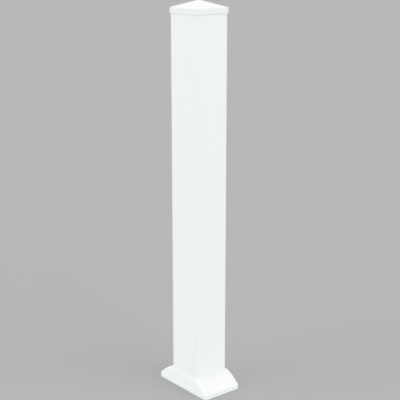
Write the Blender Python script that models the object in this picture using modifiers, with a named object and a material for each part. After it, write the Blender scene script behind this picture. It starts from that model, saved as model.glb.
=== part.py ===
"""Vinyl fence post: a hollow square sleeve, a pyramid cap over its top and a flared trim round its foot.

Metres, +Z up. The origin is on the ground, in the middle of the sleeve. The long way of the foot trim runs
along Y.
"""
import math

import bmesh
import bpy

# Sleeve, an extruded square tube that stands on the ground
SLEEVE_WIDTH = 0.1016
SLEEVE_LENGTH = 1.000
SLEEVE_WALL = 0.0035
SLEEVE_CORNER_RADIUS = 0.005
SLEEVE_BORE_RADIUS = 0.0015

# Cap, a moulded shell that slips over the sleeve
CAP_WALL = 0.002
CAP_BAND_DEPTH = 0.0148
CAP_ROOF_RISE = 0.0182
CAP_CORNER_RADIUS = 0.0055
CAP_EDGE_RADIUS = 0.001

# Foot trim, a moulded shell round the sleeve, open underneath
TRIM_WALL = 0.0025
TRIM_HEIGHT = 0.042
TRIM_LIP = 0.0017
TRIM_COLLAR_DEPTH = 0.004
TRIM_SIDE_REACH = 0.0082
TRIM_END_REACH = 0.0485
TRIM_RIM_HEIGHT = 0.0115
TRIM_RIM_STEP = 0.0008
TRIM_RIM_ROUNDING = 0.0015
TRIM_FOOT_RADIUS = 0.0105
TRIM_FLARE_POWER = 1.4
TRIM_SIDE_POWER = 0.35

# Gap that two pieces keep where they touch
CLEARANCE = 0.0003

# Fineness of the round stretches
CORNER_SEGMENTS = 8
EDGE_SEGMENTS = 3
FLARE_STEPS = 14
ROUNDING_STEPS = 4
SMOOTH_ANGLE = math.radians(32)

# Colours as linear RGB, with a roughness
SLEEVE_COLOUR = (0.86, 0.885, 0.87)
CAP_COLOUR = (0.88, 0.895, 0.89)
TRIM_COLOUR = (0.87, 0.89, 0.885)
VINYL_ROUGHNESS = 0.38

# Places that follow from the sizes above
SLEEVE_HALF = SLEEVE_WIDTH / 2
SOCKET_HALF = SLEEVE_HALF + CLEARANCE
CAP_HALF = SOCKET_HALF + CAP_WALL
ROOF_SLOPE = CAP_ROOF_RISE / CAP_HALF
ROOF_WALL_DROP = CAP_WALL * math.hypot(1, ROOF_SLOPE)
CAP_EAVE_Z = SLEEVE_LENGTH + CLEARANCE + ROOF_WALL_DROP - ROOF_SLOPE * CAP_WALL
CAP_BAND_LOW = CAP_EAVE_Z - CAP_BAND_DEPTH


def clear_scene():
    """Remove every object that the file starts with."""
    for obj in list(bpy.data.objects):
        bpy.data.objects.remove(obj, do_unlink=True)


def new_collection(name):
    """Add a collection to the scene."""
    collection = bpy.data.collections.new(name)
    bpy.context.scene.collection.children.link(collection)
    return collection


def vinyl(name, colour):
    """Make the plain plastic of one sub-part."""
    material = bpy.data.materials.new(name)
    material.use_nodes = True
    shader = material.node_tree.nodes["Principled BSDF"]
    shader.inputs["Base Color"].default_value = (*colour, 1.0)
    shader.inputs["Roughness"].default_value = VINYL_ROUGHNESS
    shader.inputs["Metallic"].default_value = 0.0
    return material


def add_object(name, bm, collection, material=None):
    """Turn a bmesh into a named object in a collection."""
    mesh = bpy.data.meshes.new(name)
    bm.to_mesh(mesh)
    bm.free()
    obj = bpy.data.objects.new(name, mesh)
    collection.objects.link(obj)
    if material:
        mesh.materials.append(material)
    return obj


def shade(obj):
    """Shade the round stretches smooth and keep the flat faces crisp."""
    obj.data.shade_smooth()
    obj.data.set_sharp_from_angle(angle=SMOOTH_ANGLE)


def square_block(half, low, high, corner_radius):
    """Make a square block with rounded upright corners, as a bmesh."""
    bm = bmesh.new()
    bmesh.ops.create_cube(bm, size=1.0)
    bmesh.ops.scale(bm, vec=(2 * half, 2 * half, high - low), verts=bm.verts)
    bmesh.ops.translate(bm, vec=(0, 0, (low + high) / 2), verts=bm.verts)
    upright = [e for e in bm.edges if abs(e.verts[0].co.z - e.verts[1].co.z) > (high - low) / 2]
    bmesh.ops.bevel(bm, geom=upright, offset=corner_radius, offset_type="OFFSET", segments=CORNER_SEGMENTS,
                    profile=0.5, affect="EDGES")
    return bm


def roofed_block(half, low, eave, rise, corner_radius):
    """Make a square block with a pyramid roof, as a bmesh."""
    bm = square_block(half, low, eave, corner_radius)
    top = max(bm.faces, key=lambda face: face.calc_center_median().z)
    apex = bmesh.ops.poke(bm, faces=[top])["verts"][0]
    apex.co = (0, 0, eave + rise)
    return bm


def hollow_out(obj, name, bm, cutters):
    """Cut a hollow, given as a bmesh, out of an object."""
    cutter = add_object(name, bm, cutters)
    cutter.hide_render = True
    cutter.display_type = "WIRE"
    hollow = obj.modifiers.new(name, "BOOLEAN")
    hollow.operation = "DIFFERENCE"
    hollow.object = cutter


def make_sleeve(collection, cutters):
    """Make the square tube, cut square at both ends."""
    outside = square_block(SLEEVE_HALF, 0.0, SLEEVE_LENGTH, SLEEVE_CORNER_RADIUS)
    sleeve = add_object("post_sleeve", outside, collection, vinyl("sleeve_vinyl", SLEEVE_COLOUR))
    shade(sleeve)
    bore = square_block(SLEEVE_HALF - SLEEVE_WALL, -SLEEVE_WALL, SLEEVE_LENGTH + SLEEVE_WALL,
                        SLEEVE_BORE_RADIUS)
    hollow_out(sleeve, "sleeve_bore", bore, cutters)


def make_cap(collection, cutters):
    """Make the pyramid cap, hollow under its roof, with a socket that takes the sleeve."""
    outside = roofed_block(CAP_HALF, CAP_BAND_LOW, CAP_EAVE_Z, CAP_ROOF_RISE, CAP_CORNER_RADIUS)
    cap = add_object("post_cap", outside, collection, vinyl("cap_vinyl", CAP_COLOUR))
    shade(cap)
    edges = cap.modifiers.new("edges", "BEVEL")
    edges.width = CAP_EDGE_RADIUS
    edges.segments = EDGE_SEGMENTS
    edges.limit_method = "ANGLE"
    edges.angle_limit = math.radians(45)

    socket = roofed_block(SOCKET_HALF, CAP_BAND_LOW - CAP_BAND_DEPTH, SLEEVE_LENGTH + CLEARANCE,
                          ROOF_SLOPE * SOCKET_HALF, SLEEVE_CORNER_RADIUS + CLEARANCE)
    hollow_out(cap, "cap_socket", socket, cutters)


def rounded_rectangle(half_x, half_y, radius, z):
    """List the points of a level rounded rectangle, anticlockwise from above."""
    points = []
    for corner, (side_x, side_y) in enumerate([(1, 1), (-1, 1), (-1, -1), (1, -1)]):
        for step in range(CORNER_SEGMENTS + 1):
            angle = math.radians(90) * (corner + step / CORNER_SEGMENTS)
            points.append((side_x * (half_x - radius) + radius * math.cos(angle),
                           side_y * (half_y - radius) + radius * math.sin(angle), z))
    return points


def flare(fraction):
    """Give the side reach, end reach, corner radius and height of the flare, from the lip, 0, to the rim, 1.

    The ends slope out in a shallow curve, while the sides swell out close under the lip and then drop
    steeply.
    """
    flare_drop = TRIM_HEIGHT - TRIM_LIP / 2 - TRIM_RIM_HEIGHT
    rim_radius = TRIM_FOOT_RADIUS - TRIM_RIM_STEP
    lip_radius = SLEEVE_CORNER_RADIUS + CLEARANCE + TRIM_LIP
    return (TRIM_LIP + (TRIM_SIDE_REACH - TRIM_RIM_STEP - TRIM_LIP) * fraction ** TRIM_SIDE_POWER,
            TRIM_LIP + (TRIM_END_REACH - TRIM_RIM_STEP - TRIM_LIP) * fraction,
            lip_radius + (rim_radius - lip_radius) * fraction,
            TRIM_HEIGHT - TRIM_LIP / 2 - flare_drop * fraction ** TRIM_FLARE_POWER)


def flare_fractions():
    """List where the flare is cut, from the lip to the rim, closest where the sides swell out."""
    return [(step / FLARE_STEPS) ** 2 for step in range(FLARE_STEPS + 1)]


def flare_normal(fraction):
    """Give the outward and upward parts of the flare's normal at the trim's ends."""
    step = 1e-4
    near, far = flare(max(fraction - step, 0)), flare(min(fraction + step, 1))
    out, drop = far[1] - near[1], near[3] - far[3]
    length = math.hypot(out, drop)
    return drop / length, out / length


def trim_rings():
    """List the trim's cross-sections: lip, flare and rim outside, then back up inside to the collar."""
    half = SOCKET_HALF
    rings = []
    for step in range(ROUNDING_STEPS):
        turn = math.radians(90) * step / ROUNDING_STEPS
        reach = TRIM_LIP / 2 * (1 + math.sin(turn))
        rings.append((half + reach, half + reach, SLEEVE_CORNER_RADIUS + CLEARANCE + reach,
                      TRIM_HEIGHT - TRIM_LIP / 2 * (1 - math.cos(turn))))
    for fraction in flare_fractions():
        side, end, radius, z = flare(fraction)
        rings.append((half + side, half + end, radius, z))
    rim_x, rim_y = half + TRIM_SIDE_REACH, half + TRIM_END_REACH
    for step in range(1, ROUNDING_STEPS + 1):
        turn = math.radians(90) * step / ROUNDING_STEPS
        reach = TRIM_RIM_STEP * (1 - math.sin(turn))
        rings.append((rim_x - reach, rim_y - reach, TRIM_FOOT_RADIUS - reach,
                      TRIM_RIM_HEIGHT - TRIM_RIM_ROUNDING * (1 - math.cos(turn))))
    rings.append((rim_x, rim_y, TRIM_FOOT_RADIUS, 0.0))
    rings.append((rim_x - TRIM_WALL, rim_y - TRIM_WALL, TRIM_FOOT_RADIUS - TRIM_WALL, 0.0))
    inner_radius = SLEEVE_CORNER_RADIUS + CLEARANCE
    for fraction in reversed(flare_fractions()):
        side, end, radius, z = flare(fraction)
        out, up = flare_normal(fraction)
        level = z - TRIM_WALL * up
        if level < TRIM_HEIGHT - TRIM_COLLAR_DEPTH:
            rings.append((half + max(side - TRIM_WALL, 0), half + end - TRIM_WALL * out,
                          max(radius - TRIM_WALL, inner_radius), level))
    rings.append((half, half, inner_radius, TRIM_HEIGHT - TRIM_COLLAR_DEPTH))
    rings.append((half, half, inner_radius, TRIM_HEIGHT - TRIM_LIP / 2))
    return rings


def make_trim(collection):
    """Make the foot trim as one closed skin lofted through its cross-sections."""
    bm = bmesh.new()
    rings = [[bm.verts.new(point) for point in rounded_rectangle(*ring)] for ring in trim_rings()]
    for upper, lower in zip(rings, rings[1:] + rings[:1]):
        for index, vert in enumerate(upper):
            bm.faces.new((vert, upper[index - 1], lower[index - 1], lower[index]))
    bmesh.ops.recalc_face_normals(bm, faces=bm.faces)
    trim = add_object("base_trim", bm, collection, vinyl("trim_vinyl", TRIM_COLOUR))
    shade(trim)


def main():
    """Make the fence post."""
    clear_scene()
    post = new_collection("fence_post")
    cutters = new_collection("cutters")
    make_sleeve(post, cutters)
    make_cap(post, cutters)
    make_trim(post)


main()
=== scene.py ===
"""Vinyl fence post: the sleeve, the pyramid cap and the foot trim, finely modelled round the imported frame.

Metres, +Z up. The origin is on the ground, in the middle of the sleeve. The long way of the foot trim runs
along Y.
"""
import math

import bmesh
import bpy
from bpy.props import FloatProperty, FloatVectorProperty, IntProperty, PointerProperty
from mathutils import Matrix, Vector


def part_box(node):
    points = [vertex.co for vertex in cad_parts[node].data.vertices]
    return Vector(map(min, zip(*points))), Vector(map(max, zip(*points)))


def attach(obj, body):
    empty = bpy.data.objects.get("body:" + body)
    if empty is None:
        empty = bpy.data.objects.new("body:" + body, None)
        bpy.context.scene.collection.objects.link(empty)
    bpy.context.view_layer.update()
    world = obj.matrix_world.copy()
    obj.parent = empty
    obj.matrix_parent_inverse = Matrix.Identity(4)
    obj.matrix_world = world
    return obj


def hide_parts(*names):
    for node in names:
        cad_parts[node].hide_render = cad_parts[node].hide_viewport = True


bl_info = {
    "name": "Vinyl Fence Post",
    "version": (1, 0, 0),
    "blender": (4, 5, 0),
    "location": "3D View > Sidebar > Fence Post",
    "description": "Models a square vinyl fence post with a pyramid cap and a flared foot trim",
    "category": "Add Mesh",
}

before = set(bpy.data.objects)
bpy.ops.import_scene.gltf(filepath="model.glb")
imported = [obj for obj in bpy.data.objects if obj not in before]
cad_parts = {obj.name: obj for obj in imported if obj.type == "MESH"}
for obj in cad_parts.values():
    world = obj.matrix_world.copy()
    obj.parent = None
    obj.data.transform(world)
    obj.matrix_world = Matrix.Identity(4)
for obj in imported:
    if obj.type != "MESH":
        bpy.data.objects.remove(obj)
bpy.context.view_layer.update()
BODY = "root"

# Boxes of the frame's pieces, which set the overall sizes of the pieces below
SLEEVE_LOW, SLEEVE_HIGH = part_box("post_sleeve")
CAP_LOW, CAP_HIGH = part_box("post_cap")
TRIM_LOW, TRIM_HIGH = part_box("base_trim")
SLEEVE_HALF = SLEEVE_HIGH[0]
CAP_HALF = CAP_HIGH[0]

# Snug fit of the cap and the trim round the sleeve
CLEARANCE = 0.0001
SOCKET_HALF = SLEEVE_HALF + CLEARANCE

# Fineness of the round stretches and of the shading
CORNER_SEGMENTS = 16
CUT_EDGE_SEGMENTS = 3
ROUNDING_STEPS = 6
FLARE_STEPS = 40
SMOOTH_ANGLE = math.radians(28)

# Patterns in the vinyl: scale, detail and stretch along the three axes, where a low value draws it out
MOTTLE_PATTERN = (14.0, 3.0, (1, 1, 1))
DRAW_LINE_PATTERN = (260.0, 2.0, (1, 1, 0.004))
GRAIN_PATTERN = (2600.0, 2.0, (1, 1, 1))
SCUFF_PATTERN = (90.0, 4.0, (1, 1, 0.25))
DUST_PATTERN = (55.0, 5.0, (1, 1, 1))
PATTERN_MIDDLE = 0.5
SCUFF_THRESHOLD = 0.74

# How much the patterns change the vinyl's shade, its roughness and its relief
DRAW_LINE_SHADE = 0.03
MOTTLE_ROUGHNESS = 0.1
SCUFF_ROUGHNESS = 0.03
DUST_ROUGHNESS = 0.6
DRAW_LINE_RELIEF = 1.6

# Dust that settles near the ground
DUST_HEIGHT = 0.016
DUST_COLOUR = (0.42, 0.38, 0.32)

# Vinyl as a material
VINYL_IOR = 1.53
RELIEF_STRENGTH = 0.5
RELIEF_DEPTH = 0.00006

# Camera at the photograph's viewing angle
VIEW_AZIMUTH = math.radians(-38.75)
VIEW_ELEVATION = math.radians(14.88)
VIEW_DISTANCE = 2.575
VIEW_TARGET_Z = 0.5107
VIEW_TARGET_SIDE = 0.0025
FOCAL_PIXELS = 995.4
PHOTO_PIXELS = 400
SENSOR_WIDTH = 36.0

# Soft lights round the post: name, azimuth and elevation in degrees, and strength
SOFT_LIGHTS = (("left_light", -107, 4, 1.32), ("right_light", 17, 24, 0.915), ("back_light", 140, 12, 0.5))
SOFT_LIGHT_ANGLE = math.radians(60)
SOFT_LIGHT_COLOUR = (0.92, 1.0, 0.93)

# Light of the dome, from the horizon to straight up, and the grey that the camera sees in its place
DOME_HORIZON = (0.985, 0.975, 1.0)
DOME_ZENITH = (0.87, 0.77, 0.868)
DOME_GREY = (0.472, 0.472, 0.472)

# Floor, and the even light that it throws back on the post
FLOOR_REACH = 40.0
FLOOR_ROUGHNESS = 0.9
FLOOR_BOUNCE = (0.665, 0.655, 0.67)

# Sockets that the mix node uses when it mixes colours
FIRST_COLOUR, SECOND_COLOUR, MIXED_COLOUR = 6, 7, 2


class FencePostSizes(bpy.types.PropertyGroup):
    """Sizes of the fence post that a user would change."""
    sleeve_wall: FloatProperty(
        name="Sleeve wall", description="Thickness of the extruded tube's wall", default=0.0035,
        min=0.001, subtype="DISTANCE", unit="LENGTH")
    sleeve_corner: FloatProperty(
        name="Sleeve corner radius", description="Radius of the tube's upright corners, outside",
        default=0.005, min=0.001, subtype="DISTANCE", unit="LENGTH")
    cut_edge: FloatProperty(
        name="Cut edge radius", description="Softening of the tube's sawn ends", default=0.0003,
        min=0.0001, subtype="DISTANCE", unit="LENGTH")
    cap_corner: FloatProperty(
        name="Cap corner radius", description="Radius of the cap's upright corners, outside", default=0.0055,
        min=0.001, subtype="DISTANCE", unit="LENGTH")
    cap_rise: FloatProperty(
        name="Cap roof rise", description="Height of the cap's roof above its eaves", default=0.0182,
        min=0.001, subtype="DISTANCE", unit="LENGTH")
    cap_edge: FloatProperty(
        name="Cap edge radius", description="Radius of the eaves and of the band's lower edge", default=0.001,
        min=0.0002, subtype="DISTANCE", unit="LENGTH")
    cap_tip: FloatProperty(
        name="Cap tip width", description="Half width of the blunt tip of the roof", default=0.004,
        min=0.0005, subtype="DISTANCE", unit="LENGTH")
    trim_wall: FloatProperty(
        name="Trim wall", description="Thickness of the foot trim's wall", default=0.0025,
        min=0.001, subtype="DISTANCE", unit="LENGTH")
    trim_lip: FloatProperty(
        name="Trim lip", description="Thickness of the rounded lip round the sleeve", default=0.0017,
        min=0.0005, subtype="DISTANCE", unit="LENGTH")
    trim_collar: FloatProperty(
        name="Trim collar depth", description="Depth of the face that hugs the sleeve", default=0.004,
        min=0.001, subtype="DISTANCE", unit="LENGTH")
    trim_rim: FloatProperty(
        name="Trim rim height", description="Height of the upright rim round the foot", default=0.0115,
        min=0.001, subtype="DISTANCE", unit="LENGTH")
    trim_step: FloatProperty(
        name="Trim rim step", description="How far the rim stands proud of the flare", default=0.0008,
        min=0.0, subtype="DISTANCE", unit="LENGTH")
    trim_rounding: FloatProperty(
        name="Trim rim rounding", description="Height of the rim's rounded top edge", default=0.0015,
        min=0.0002, subtype="DISTANCE", unit="LENGTH")
    trim_corner: FloatProperty(
        name="Trim foot corner radius", description="Radius of the rim's corners, seen from above",
        default=0.0105, min=0.002, subtype="DISTANCE", unit="LENGTH")
    trim_power: FloatProperty(
        name="Trim flare power", description="Curve of the ends' flare: 1 is straight, more bulges",
        default=1.4, min=1.0)
    trim_side_power: FloatProperty(
        name="Trim side power", description="Curve of the sides' flare: below 1 they swell out under the lip",
        default=0.35, min=0.1, max=2.0)
    corner_segments: IntProperty(
        name="Corner segments", description="Facets in each rounded corner", default=CORNER_SEGMENTS,
        min=2, max=64)


class FencePostFinish(bpy.types.PropertyGroup):
    """Colours of the vinyl and of the floor."""
    sleeve_colour: FloatVectorProperty(
        name="Sleeve colour", description="Colour of the extruded tube", subtype="COLOR", size=3,
        default=(0.827, 0.884, 0.847), min=0.0, max=1.0)
    cap_colour: FloatVectorProperty(
        name="Cap colour", description="Colour of the moulded cap", subtype="COLOR", size=3,
        default=(0.816, 0.86, 0.837), min=0.0, max=1.0)
    trim_colour: FloatVectorProperty(
        name="Trim colour", description="Colour of the moulded foot trim", subtype="COLOR", size=3,
        default=(0.847, 0.881, 0.864), min=0.0, max=1.0)
    floor_colour: FloatVectorProperty(
        name="Floor colour", description="Colour of the pale floor", subtype="COLOR", size=3,
        default=(0.425, 0.45, 0.424), min=0.0, max=1.0)


def loft(sections, segments):
    """Make a skin through rounded rectangles, given as half x, half y, corner radius and height.

    A section of no size is a single point that closes the skin; without such ends the last joins the first.
    """
    bm = bmesh.new()
    rings = [[bm.verts.new(point) for point in rounded_rectangle(*section, segments)] for section in sections]
    closed = len(rings[0]) > 1
    for upper, lower in zip(rings, rings[1:] + (rings[:1] if closed else [])):
        count = max(len(upper), len(lower))
        for index in range(count):
            before = (index - 1) % count
            if len(upper) == 1:
                bm.faces.new((upper[0], lower[before], lower[index]))
            elif len(lower) == 1:
                bm.faces.new((upper[index], upper[before], lower[0]))
            else:
                bm.faces.new((upper[index], upper[before], lower[before], lower[index]))
    bmesh.ops.recalc_face_normals(bm, faces=bm.faces)
    return bm


def rounded_rectangle(half_x, half_y, radius, z, segments):
    """List the points of a level rounded rectangle, anticlockwise from above."""
    if half_x == 0:
        return [(0, 0, z)]
    points = []
    for corner, (side_x, side_y) in enumerate([(1, 1), (-1, 1), (-1, -1), (1, -1)]):
        for step in range(segments + 1):
            angle = math.radians(90) * (corner + step / segments)
            points.append((side_x * (half_x - radius) + radius * math.cos(angle),
                           side_y * (half_y - radius) + radius * math.sin(angle), z))
    return points


def quarter_steps(steps):
    """Give the sine and cosine of the turns along a quarter circle, its start left out."""
    for step in range(1, steps + 1):
        turn = math.radians(90) * step / steps
        yield math.sin(turn), math.cos(turn)


def new_mesh(name, bm):
    """Turn a bmesh into a mesh."""
    mesh = bpy.data.meshes.new(name)
    bm.to_mesh(mesh)
    bm.free()
    return mesh


def add_object(name, data):
    """Put an object with this mesh, light or camera in the scene."""
    thing = bpy.data.objects.new(name, data)
    bpy.context.scene.collection.objects.link(thing)
    return thing


def add_piece(name, mesh, material, node):
    """Put a finished piece in the scene in place of a node of the frame."""
    mesh.materials.clear()
    mesh.materials.append(material)
    mesh.shade_smooth()
    mesh.set_sharp_from_angle(angle=SMOOTH_ANGLE)
    piece = add_object(name, mesh)
    weighted = piece.modifiers.new("flat faces", "WEIGHTED_NORMAL")
    weighted.keep_sharp = True
    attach(piece, BODY)
    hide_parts(node)
    return piece


def add_node(tree, kind, **settings):
    """Add a node to a tree, with its settings."""
    node = tree.nodes.new(kind)
    for name, value in settings.items():
        setattr(node, name, value)
    return node


def add_socket(tree, name, direction, kind):
    """Add a named socket to a node group."""
    return tree.interface.new_socket(name=name, in_out=direction, socket_type=kind)


def feed(tree, source, socket):
    """Feed a socket from another socket, or set it to a number or a colour."""
    if isinstance(source, bpy.types.NodeSocket):
        tree.links.new(source, socket)
    else:
        socket.default_value = source


def math_node(tree, operation, *values):
    """Add a math node fed by sockets or numbers, and give its result."""
    node = add_node(tree, "ShaderNodeMath", operation=operation)
    for value, socket in zip(values, node.inputs):
        feed(tree, value, socket)
    return node.outputs[0]


def mix_colours(tree, factor, first, second):
    """Add a mix of two colours, given as sockets or plain colours, and give its result."""
    node = add_node(tree, "ShaderNodeMix", data_type="RGBA")
    feed(tree, factor, node.inputs[0])
    feed(tree, first, node.inputs[FIRST_COLOUR])
    feed(tree, second, node.inputs[SECOND_COLOUR])
    return node.outputs[MIXED_COLOUR]


def split_rays(tree, seen, unseen):
    """Add a shader that is one for the camera's rays and another for all the rest."""
    path = add_node(tree, "ShaderNodeLightPath")
    mix = add_node(tree, "ShaderNodeMixShader")
    feed(tree, path.outputs["Is Camera Ray"], mix.inputs[0])
    feed(tree, unseen, mix.inputs[1])
    feed(tree, seen, mix.inputs[2])
    return mix.outputs[0]


def sleeve_tree():
    """Build the node tree that sweeps the tube's wall round a rounded square."""
    tree = bpy.data.node_groups.new("square_tube", "GeometryNodeTree")
    add_socket(tree, "Geometry", "INPUT", "NodeSocketGeometry")
    for name in ("Width", "Length", "Wall", "Corner Radius", "Cut Edge Radius"):
        add_socket(tree, name, "INPUT", "NodeSocketFloat")
    add_socket(tree, "Corner Segments", "INPUT", "NodeSocketInt")
    add_socket(tree, "Material", "INPUT", "NodeSocketMaterial")
    add_socket(tree, "Geometry", "OUTPUT", "NodeSocketGeometry")
    given = add_node(tree, "NodeGroupInput").outputs
    result = add_node(tree, "NodeGroupOutput")

    middle_width = math_node(tree, "SUBTRACT", given["Width"], given["Wall"])
    path = add_node(tree, "GeometryNodeCurvePrimitiveQuadrilateral", mode="RECTANGLE")
    feed(tree, middle_width, path.inputs["Width"])
    feed(tree, middle_width, path.inputs["Height"])
    middle_radius = math_node(tree, "MULTIPLY_ADD", given["Wall"], -0.5, given["Corner Radius"])
    corners = add_node(tree, "GeometryNodeFilletCurve", mode="POLY")
    feed(tree, path.outputs[0], corners.inputs["Curve"])
    feed(tree, given["Corner Segments"], corners.inputs["Count"])
    feed(tree, middle_radius, corners.inputs["Radius"])

    section = add_node(tree, "GeometryNodeCurvePrimitiveQuadrilateral", mode="RECTANGLE")
    feed(tree, given["Wall"], section.inputs["Width"])
    feed(tree, given["Length"], section.inputs["Height"])
    softened = add_node(tree, "GeometryNodeFilletCurve", mode="POLY")
    feed(tree, section.outputs[0], softened.inputs["Curve"])
    feed(tree, CUT_EDGE_SEGMENTS, softened.inputs["Count"])
    feed(tree, given["Cut Edge Radius"], softened.inputs["Radius"])

    sweep = add_node(tree, "GeometryNodeCurveToMesh")
    feed(tree, corners.outputs[0], sweep.inputs["Curve"])
    feed(tree, softened.outputs[0], sweep.inputs["Profile Curve"])
    lift = add_node(tree, "ShaderNodeCombineXYZ")
    feed(tree, math_node(tree, "MULTIPLY", given["Length"], 0.5), lift.inputs["Z"])
    stand = add_node(tree, "GeometryNodeTransform")
    feed(tree, sweep.outputs[0], stand.inputs["Geometry"])
    feed(tree, lift.outputs[0], stand.inputs["Translation"])
    real = add_node(tree, "GeometryNodeRealizeInstances")
    feed(tree, stand.outputs[0], real.inputs[0])
    finish = add_node(tree, "GeometryNodeSetMaterial")
    feed(tree, real.outputs[0], finish.inputs["Geometry"])
    feed(tree, given["Material"], finish.inputs["Material"])
    feed(tree, finish.outputs[0], result.inputs[0])
    return tree


def bake_tree(name, tree, values):
    """Run a geometry node tree with named inputs and return the plain mesh."""
    carrier = add_object(name + "_carrier", bpy.data.meshes.new(name + "_carrier"))
    modifier = carrier.modifiers.new("nodes", "NODES")
    modifier.node_group = tree
    for item in tree.interface.items_tree:
        if item.in_out == "INPUT" and item.name in values:
            modifier[item.identifier] = values[item.name]
    evaluated = carrier.evaluated_get(bpy.context.evaluated_depsgraph_get())
    mesh = bpy.data.meshes.new_from_object(evaluated)
    mesh.name = name
    carrier.modifiers.remove(modifier)
    bpy.data.objects.remove(carrier, do_unlink=True)
    return mesh


def surface_group():
    """Build the shared surface of the vinyl: mottling, draw lines, grain, scuffs and dust near the ground."""
    tree = bpy.data.node_groups.new("vinyl_surface", "ShaderNodeTree")
    add_socket(tree, "Colour", "INPUT", "NodeSocketColor")
    for name in ("Mottle", "Draw Lines", "Grain", "Dust", "Roughness"):
        add_socket(tree, name, "INPUT", "NodeSocketFloat")
    add_socket(tree, "Colour", "OUTPUT", "NodeSocketColor")
    add_socket(tree, "Roughness", "OUTPUT", "NodeSocketFloat")
    add_socket(tree, "Height", "OUTPUT", "NodeSocketFloat")
    given = add_node(tree, "NodeGroupInput").outputs
    result = add_node(tree, "NodeGroupOutput").inputs
    place = add_node(tree, "ShaderNodeTexCoord").outputs["Object"]

    def noise(scale, detail, stretch):
        """Add a noise on object coordinates and give its value."""
        mapping = add_node(tree, "ShaderNodeMapping")
        feed(tree, stretch, mapping.inputs["Scale"])
        feed(tree, place, mapping.inputs["Vector"])
        node = add_node(tree, "ShaderNodeTexNoise")
        feed(tree, scale, node.inputs["Scale"])
        feed(tree, detail, node.inputs["Detail"])
        feed(tree, mapping.outputs[0], node.inputs["Vector"])
        return node.outputs["Fac"]

    mottle = math_node(tree, "SUBTRACT", noise(*MOTTLE_PATTERN), PATTERN_MIDDLE)
    streaks = math_node(tree, "SUBTRACT", noise(*DRAW_LINE_PATTERN), PATTERN_MIDDLE)
    grain = math_node(tree, "SUBTRACT", noise(*GRAIN_PATTERN), PATTERN_MIDDLE)
    scuffs = math_node(tree, "GREATER_THAN", noise(*SCUFF_PATTERN), SCUFF_THRESHOLD)
    drawn = math_node(tree, "MULTIPLY", streaks, given["Draw Lines"])

    shift = math_node(tree, "MULTIPLY", mottle, given["Mottle"])
    shift = math_node(tree, "MULTIPLY_ADD", drawn, DRAW_LINE_SHADE, shift)
    shaded = add_node(tree, "ShaderNodeVectorMath", operation="SCALE")
    feed(tree, given["Colour"], shaded.inputs[0])
    feed(tree, math_node(tree, "ADD", shift, 1.0), shaded.inputs["Scale"])

    heights = add_node(tree, "ShaderNodeSeparateXYZ")
    feed(tree, place, heights.inputs[0])
    low = add_node(tree, "ShaderNodeMapRange")
    feed(tree, heights.outputs["Z"], low.inputs["Value"])
    feed(tree, 0.0, low.inputs["From Min"])
    feed(tree, DUST_HEIGHT, low.inputs["From Max"])
    feed(tree, 1.0, low.inputs["To Min"])
    feed(tree, 0.0, low.inputs["To Max"])
    dust = math_node(tree, "MULTIPLY", low.outputs[0], noise(*DUST_PATTERN))
    dust = math_node(tree, "MULTIPLY", dust, given["Dust"])
    feed(tree, mix_colours(tree, dust, shaded.outputs[0], (*DUST_COLOUR, 1.0)), result["Colour"])

    rough = math_node(tree, "MULTIPLY_ADD", mottle, MOTTLE_ROUGHNESS, given["Roughness"])
    rough = math_node(tree, "MULTIPLY_ADD", scuffs, SCUFF_ROUGHNESS, rough)
    rough = math_node(tree, "MULTIPLY_ADD", dust, DUST_ROUGHNESS, rough)
    feed(tree, rough, result["Roughness"])

    relief = math_node(tree, "MULTIPLY", grain, given["Grain"])
    relief = math_node(tree, "MULTIPLY_ADD", drawn, DRAW_LINE_RELIEF, relief)
    feed(tree, relief, result["Height"])
    return tree


def vinyl(name, colour, specular, roughness, mottle, draw_lines, grain, dust):
    """Make the vinyl of one piece from the shared surface group, which is built once."""
    surface = bpy.data.node_groups.get("vinyl_surface") or surface_group()
    material = bpy.data.materials.new(name)
    material.use_nodes = True
    tree = material.node_tree
    shader = tree.nodes["Principled BSDF"].inputs
    feed(tree, VINYL_IOR, shader["IOR"])
    feed(tree, specular, shader["Specular IOR Level"])
    feed(tree, 0.0, shader["Metallic"])
    group = add_node(tree, "ShaderNodeGroup", node_tree=surface)
    values = {"Colour": (*colour, 1.0), "Mottle": mottle, "Draw Lines": draw_lines, "Grain": grain,
              "Dust": dust, "Roughness": roughness}
    for socket, value in values.items():
        feed(tree, value, group.inputs[socket])
    bump = add_node(tree, "ShaderNodeBump")
    feed(tree, RELIEF_STRENGTH, bump.inputs["Strength"])
    feed(tree, RELIEF_DEPTH, bump.inputs["Distance"])
    feed(tree, group.outputs["Height"], bump.inputs["Height"])
    feed(tree, bump.outputs["Normal"], shader["Normal"])
    feed(tree, group.outputs["Colour"], shader["Base Color"])
    feed(tree, group.outputs["Roughness"], shader["Roughness"])
    return material


class FENCEPOST_OT_sleeve(bpy.types.Operator):
    """Make the extruded square tube."""
    bl_idname = "fence_post.sleeve"
    bl_label = "Make Sleeve"

    def execute(self, context):
        """Sweep the wall round a rounded square and stand it on the ground."""
        sizes, finish = context.scene.fence_post_sizes, context.scene.fence_post_finish
        material = vinyl("sleeve_vinyl", finish.sleeve_colour, specular=0.25, roughness=0.38, mottle=0.012,
                         draw_lines=0.6, grain=0.12, dust=0.02)
        mesh = bake_tree("sleeve", sleeve_tree(), {
            "Width": 2 * SLEEVE_HALF, "Length": SLEEVE_HIGH[2] - SLEEVE_LOW[2], "Wall": sizes.sleeve_wall,
            "Corner Radius": sizes.sleeve_corner, "Cut Edge Radius": sizes.cut_edge,
            "Corner Segments": sizes.corner_segments, "Material": material})
        add_piece("sleeve", mesh, material, "post_sleeve")
        return {"FINISHED"}


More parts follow.
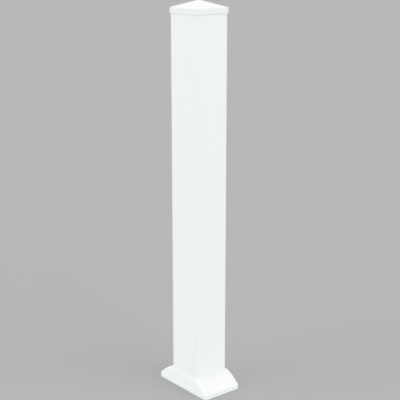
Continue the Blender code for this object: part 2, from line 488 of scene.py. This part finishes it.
def cap_sections(sizes):
    """List the cap's sections: down the socket from inside the roof, round the band and up to the tip."""
    eave = CAP_HIGH[2] - sizes.cap_rise
    slope = sizes.cap_rise / CAP_HALF
    socket_radius = sizes.sleeve_corner + CLEARANCE
    socket_eave = SLEEVE_HIGH[2] + CLEARANCE
    low, edge = CAP_LOW[2], sizes.cap_edge
    sections = [(0, 0, 0, socket_eave + slope * SOCKET_HALF),
                (SOCKET_HALF, SOCKET_HALF, socket_radius, socket_eave)]

    # The socket's mouth, rounded half as much as the band
    mouth = edge / 2
    sections.append((SOCKET_HALF, SOCKET_HALF, socket_radius, low + mouth))
    for rise, run in quarter_steps(ROUNDING_STEPS):
        out = mouth * (1 - run)
        sections.append((SOCKET_HALF + out, SOCKET_HALF + out, socket_radius + out, low + mouth * (1 - rise)))

    # The band's lower edge
    sections.append((CAP_HALF - edge, CAP_HALF - edge, sizes.cap_corner - edge, low))
    for rise, run in quarter_steps(ROUNDING_STEPS):
        back = edge * (1 - rise)
        sections.append((CAP_HALF - back, CAP_HALF - back, sizes.cap_corner - back, low + edge * (1 - run)))

    # The eaves, rounded from upright to the roof's pitch
    roof_turn = math.radians(90) - math.atan(slope)
    centre = eave - edge * math.tan(roof_turn / 2)
    for step in range(ROUNDING_STEPS + 1):
        turn = roof_turn * step / ROUNDING_STEPS
        back = edge * (1 - math.cos(turn))
        sections.append((CAP_HALF - back, CAP_HALF - back, sizes.cap_corner - back,
                         centre + edge * math.sin(turn)))

    # The blunt tip, a shallow parabola that starts at the roof's slope
    tip = sizes.cap_tip
    roof_half, _, roof_radius, _ = sections[-1]
    for step in range(ROUNDING_STEPS + 1):
        half = tip * (1 - step / (ROUNDING_STEPS + 1))
        level = CAP_HIGH[2] - slope * (half * half / tip + tip) / 2
        sections.append((half, half, roof_radius * half / roof_half, level))
    sections.append((0, 0, 0, CAP_HIGH[2] - slope * tip / 2))
    return sections


class FENCEPOST_OT_cap(bpy.types.Operator):
    """Make the moulded pyramid cap."""
    bl_idname = "fence_post.cap"
    bl_label = "Make Cap"

    def execute(self, context):
        """Loft the hollow cap through its sections."""
        sizes, finish = context.scene.fence_post_sizes, context.scene.fence_post_finish
        material = vinyl("cap_vinyl", finish.cap_colour, specular=0.3, roughness=0.42, mottle=0.008,
                         draw_lines=0.0, grain=0.25, dust=0.0)
        mesh = new_mesh("cap", loft(cap_sections(sizes), sizes.corner_segments))
        add_piece("cap", mesh, material, "post_cap")
        return {"FINISHED"}


def flare(sizes, fraction):
    """Give the side reach, end reach, corner radius and height of the flare, from the lip, 0, to the rim, 1.

    The ends slope out in a shallow curve, while the sides swell out close under the lip and then drop
    steeply.
    """
    lip, step = sizes.trim_lip, sizes.trim_step
    side_reach = TRIM_HIGH[0] - SOCKET_HALF - step
    end_reach = TRIM_HIGH[1] - SOCKET_HALF - step
    top = TRIM_HIGH[2] - lip / 2
    lip_radius = sizes.sleeve_corner + CLEARANCE + lip
    rim_radius = sizes.trim_corner - step
    return (lip + (side_reach - lip) * fraction ** sizes.trim_side_power,
            lip + (end_reach - lip) * fraction,
            lip_radius + (rim_radius - lip_radius) * fraction,
            top - (top - sizes.trim_rim) * fraction ** sizes.trim_power)


def flare_fractions():
    """List where the flare is cut, from the lip to the rim, closest where the sides swell out."""
    return [(step / FLARE_STEPS) ** 2 for step in range(FLARE_STEPS + 1)]


def flare_normal(sizes, fraction):
    """Give the outward and upward parts of the flare's normal at the trim's ends."""
    step = 1e-4
    near, far = flare(sizes, max(fraction - step, 0)), flare(sizes, min(fraction + step, 1))
    out, drop = far[1] - near[1], near[3] - far[3]
    length = math.hypot(out, drop)
    return drop / length, out / length


def trim_sections(sizes):
    """List the trim's sections: lip, flare and rim outside, then back up inside to the collar and the lip."""
    half, lip, wall = SOCKET_HALF, sizes.trim_lip, sizes.trim_wall
    inner_radius = sizes.sleeve_corner + CLEARANCE
    top, collar = TRIM_HIGH[2], TRIM_HIGH[2] - sizes.trim_collar

    # The lip's outer half, from its crest
    sections = [(half + lip / 2, half + lip / 2, inner_radius + lip / 2, top)]
    for rise, run in quarter_steps(ROUNDING_STEPS):
        reach = lip / 2 * (1 + rise)
        sections.append((half + reach, half + reach, inner_radius + reach, top - lip / 2 * (1 - run)))

    # The flare
    for fraction in flare_fractions()[1:]:
        side, end, radius, z = flare(sizes, fraction)
        sections.append((half + side, half + end, radius, z))

    # The rim, from its rounded top edge down to the ground
    rim_x, rim_y = TRIM_HIGH[0], TRIM_HIGH[1]
    for rise, run in quarter_steps(ROUNDING_STEPS):
        reach = sizes.trim_step * (1 - rise)
        sections.append((rim_x - reach, rim_y - reach, sizes.trim_corner - reach,
                         sizes.trim_rim - sizes.trim_rounding * (1 - run)))
    sections.append((rim_x, rim_y, sizes.trim_corner, 0.0))
    sections.append((rim_x - wall, rim_y - wall, sizes.trim_corner - wall, 0.0))

    # The inside of the flare, a wall's thickness in from the outside
    for fraction in reversed(flare_fractions()):
        side, end, radius, z = flare(sizes, fraction)
        out, up = flare_normal(sizes, fraction)
        if z - wall * up < collar:
            sections.append((half + max(side - wall, 0), half + end - wall * out,
                             max(radius - wall, inner_radius), z - wall * up))

    # The collar that hugs the sleeve, and the lip's inner half
    sections.append((half, half, inner_radius, collar))
    sections.append((half, half, inner_radius, top - lip / 2))
    for rise, run in list(quarter_steps(ROUNDING_STEPS))[:-1]:
        reach = lip / 2 * (1 - run)
        sections.append((half + reach, half + reach, inner_radius + reach, top - lip / 2 * (1 - rise)))
    return sections


class FENCEPOST_OT_trim(bpy.types.Operator):
    """Make the moulded foot trim."""
    bl_idname = "fence_post.trim"
    bl_label = "Make Foot Trim"

    def execute(self, context):
        """Loft the flared shell through its sections."""
        sizes, finish = context.scene.fence_post_sizes, context.scene.fence_post_finish
        material = vinyl("trim_vinyl", finish.trim_colour, specular=0.45, roughness=0.4, mottle=0.01,
                         draw_lines=0.0, grain=0.25, dust=0.02)
        mesh = new_mesh("foot_trim", loft(trim_sections(sizes), sizes.corner_segments))
        add_piece("foot_trim", mesh, material, "base_trim")
        return {"FINISHED"}


def direction(azimuth, elevation):
    """Give the unit vector that points at an azimuth, counted from -Y towards +X, and an elevation."""
    return Vector((math.sin(azimuth) * math.cos(elevation), -math.cos(azimuth) * math.cos(elevation),
                   math.sin(elevation)))


def add_soft_light(name, azimuth, elevation, strength):
    """Add a very wide, even light that comes from far away."""
    data = bpy.data.lights.new(name, "SUN")
    data.energy = strength
    data.angle = SOFT_LIGHT_ANGLE
    data.color = SOFT_LIGHT_COLOUR
    light = add_object(name, data)
    towards = direction(azimuth, elevation)
    light.location = Vector((0, 0, SLEEVE_HIGH[2] / 2)) + towards * VIEW_DISTANCE
    light.rotation_euler = towards.to_track_quat("Z", "Y").to_euler()
    return light


class FENCEPOST_OT_stage(bpy.types.Operator):
    """Set up the floor, the light and the camera."""
    bl_idname = "fence_post.stage"
    bl_label = "Set Stage"

    def execute(self, context):
        """Add the pale floor, soft studio light and the camera."""
        self.add_floor(context.scene.fence_post_finish.floor_colour)
        self.add_world()
        for name, azimuth, elevation, strength in SOFT_LIGHTS:
            add_soft_light(name, math.radians(azimuth), math.radians(elevation), strength)
        self.add_camera()
        context.scene.view_settings.view_transform = "Standard"
        return {"FINISHED"}

    def add_floor(self, colour):
        """Add a wide plain floor, which throws the same light back from all over."""
        bm = bmesh.new()
        bmesh.ops.create_grid(bm, x_segments=1, y_segments=1, size=FLOOR_REACH)
        floor = add_object("floor", new_mesh("floor", bm))
        material = bpy.data.materials.new("floor_grey")
        material.use_nodes = True
        tree = material.node_tree
        plain = tree.nodes["Principled BSDF"]
        feed(tree, (*colour, 1.0), plain.inputs["Base Color"])
        feed(tree, FLOOR_ROUGHNESS, plain.inputs["Roughness"])
        feed(tree, 0.0, plain.inputs["Specular IOR Level"])
        bounce = add_node(tree, "ShaderNodeEmission")
        feed(tree, (*FLOOR_BOUNCE, 1.0), bounce.inputs["Color"])
        surface = split_rays(tree, seen=plain.outputs[0], unseen=bounce.outputs[0])
        feed(tree, surface, tree.nodes["Material Output"].inputs["Surface"])
        floor.data.materials.append(material)

    def add_world(self):
        """Light the scene with a plain pale dome, in whose place the camera sees an even grey."""
        world = bpy.data.worlds.new("dome")
        bpy.context.scene.world = world
        world.use_nodes = True
        tree = world.node_tree
        tree.nodes.clear()
        output = add_node(tree, "ShaderNodeOutputWorld")
        ray = add_node(tree, "ShaderNodeTexCoord")
        split = add_node(tree, "ShaderNodeSeparateXYZ")
        feed(tree, ray.outputs["Generated"], split.inputs[0])
        fade = mix_colours(tree, split.outputs["Z"], (*DOME_HORIZON, 1.0), (*DOME_ZENITH, 1.0))
        dome = add_node(tree, "ShaderNodeBackground")
        feed(tree, fade, dome.inputs["Color"])
        grey = add_node(tree, "ShaderNodeBackground")
        feed(tree, (*DOME_GREY, 1.0), grey.inputs["Color"])
        surface = split_rays(tree, seen=grey.outputs[0], unseen=dome.outputs[0])
        feed(tree, surface, output.inputs["Surface"])

    def add_camera(self):
        """Add the camera where the photograph was taken from."""
        data = bpy.data.cameras.new("camera")
        data.sensor_width = SENSOR_WIDTH
        data.lens = FOCAL_PIXELS / PHOTO_PIXELS * SENSOR_WIDTH
        camera = add_object("camera", data)
        back = direction(VIEW_AZIMUTH, VIEW_ELEVATION)
        side = Vector((math.cos(VIEW_AZIMUTH), math.sin(VIEW_AZIMUTH), 0))
        camera.location = Vector((0, 0, VIEW_TARGET_Z)) + side * VIEW_TARGET_SIDE + back * VIEW_DISTANCE
        camera.rotation_euler = back.to_track_quat("Z", "Y").to_euler()
        bpy.context.scene.camera = camera


class FENCEPOST_PT_panel(bpy.types.Panel):
    """Lists the post's pieces in the sidebar."""
    bl_idname = "FENCEPOST_PT_panel"
    bl_label = "Fence Post"
    bl_space_type = "VIEW_3D"
    bl_region_type = "UI"
    bl_category = "Fence Post"

    def draw(self, context):
        """Show the operators, then the sizes and colours."""
        for operator in OPERATORS:
            self.layout.operator(operator.bl_idname)
        for group in (context.scene.fence_post_sizes, context.scene.fence_post_finish):
            box = self.layout.box()
            for name in group.__annotations__:
                box.prop(group, name)


OPERATORS = (FENCEPOST_OT_sleeve, FENCEPOST_OT_cap, FENCEPOST_OT_trim, FENCEPOST_OT_stage)
CLASSES = (FencePostSizes, FencePostFinish, *OPERATORS, FENCEPOST_PT_panel)


def register():
    """Register the classes and hang the settings on the scene."""
    for cls in CLASSES:
        bpy.utils.register_class(cls)
    bpy.types.Scene.fence_post_sizes = PointerProperty(type=FencePostSizes)
    bpy.types.Scene.fence_post_finish = PointerProperty(type=FencePostFinish)


def unregister():
    """Take the settings off the scene and unregister the classes."""
    del bpy.types.Scene.fence_post_finish
    del bpy.types.Scene.fence_post_sizes
    for cls in reversed(CLASSES):
        bpy.utils.unregister_class(cls)


def main():
    """Make the post and its stage."""
    register()
    bpy.ops.fence_post.sleeve()
    bpy.ops.fence_post.cap()
    bpy.ops.fence_post.trim()
    bpy.ops.fence_post.stage()


if __name__ == "__main__":
    main()
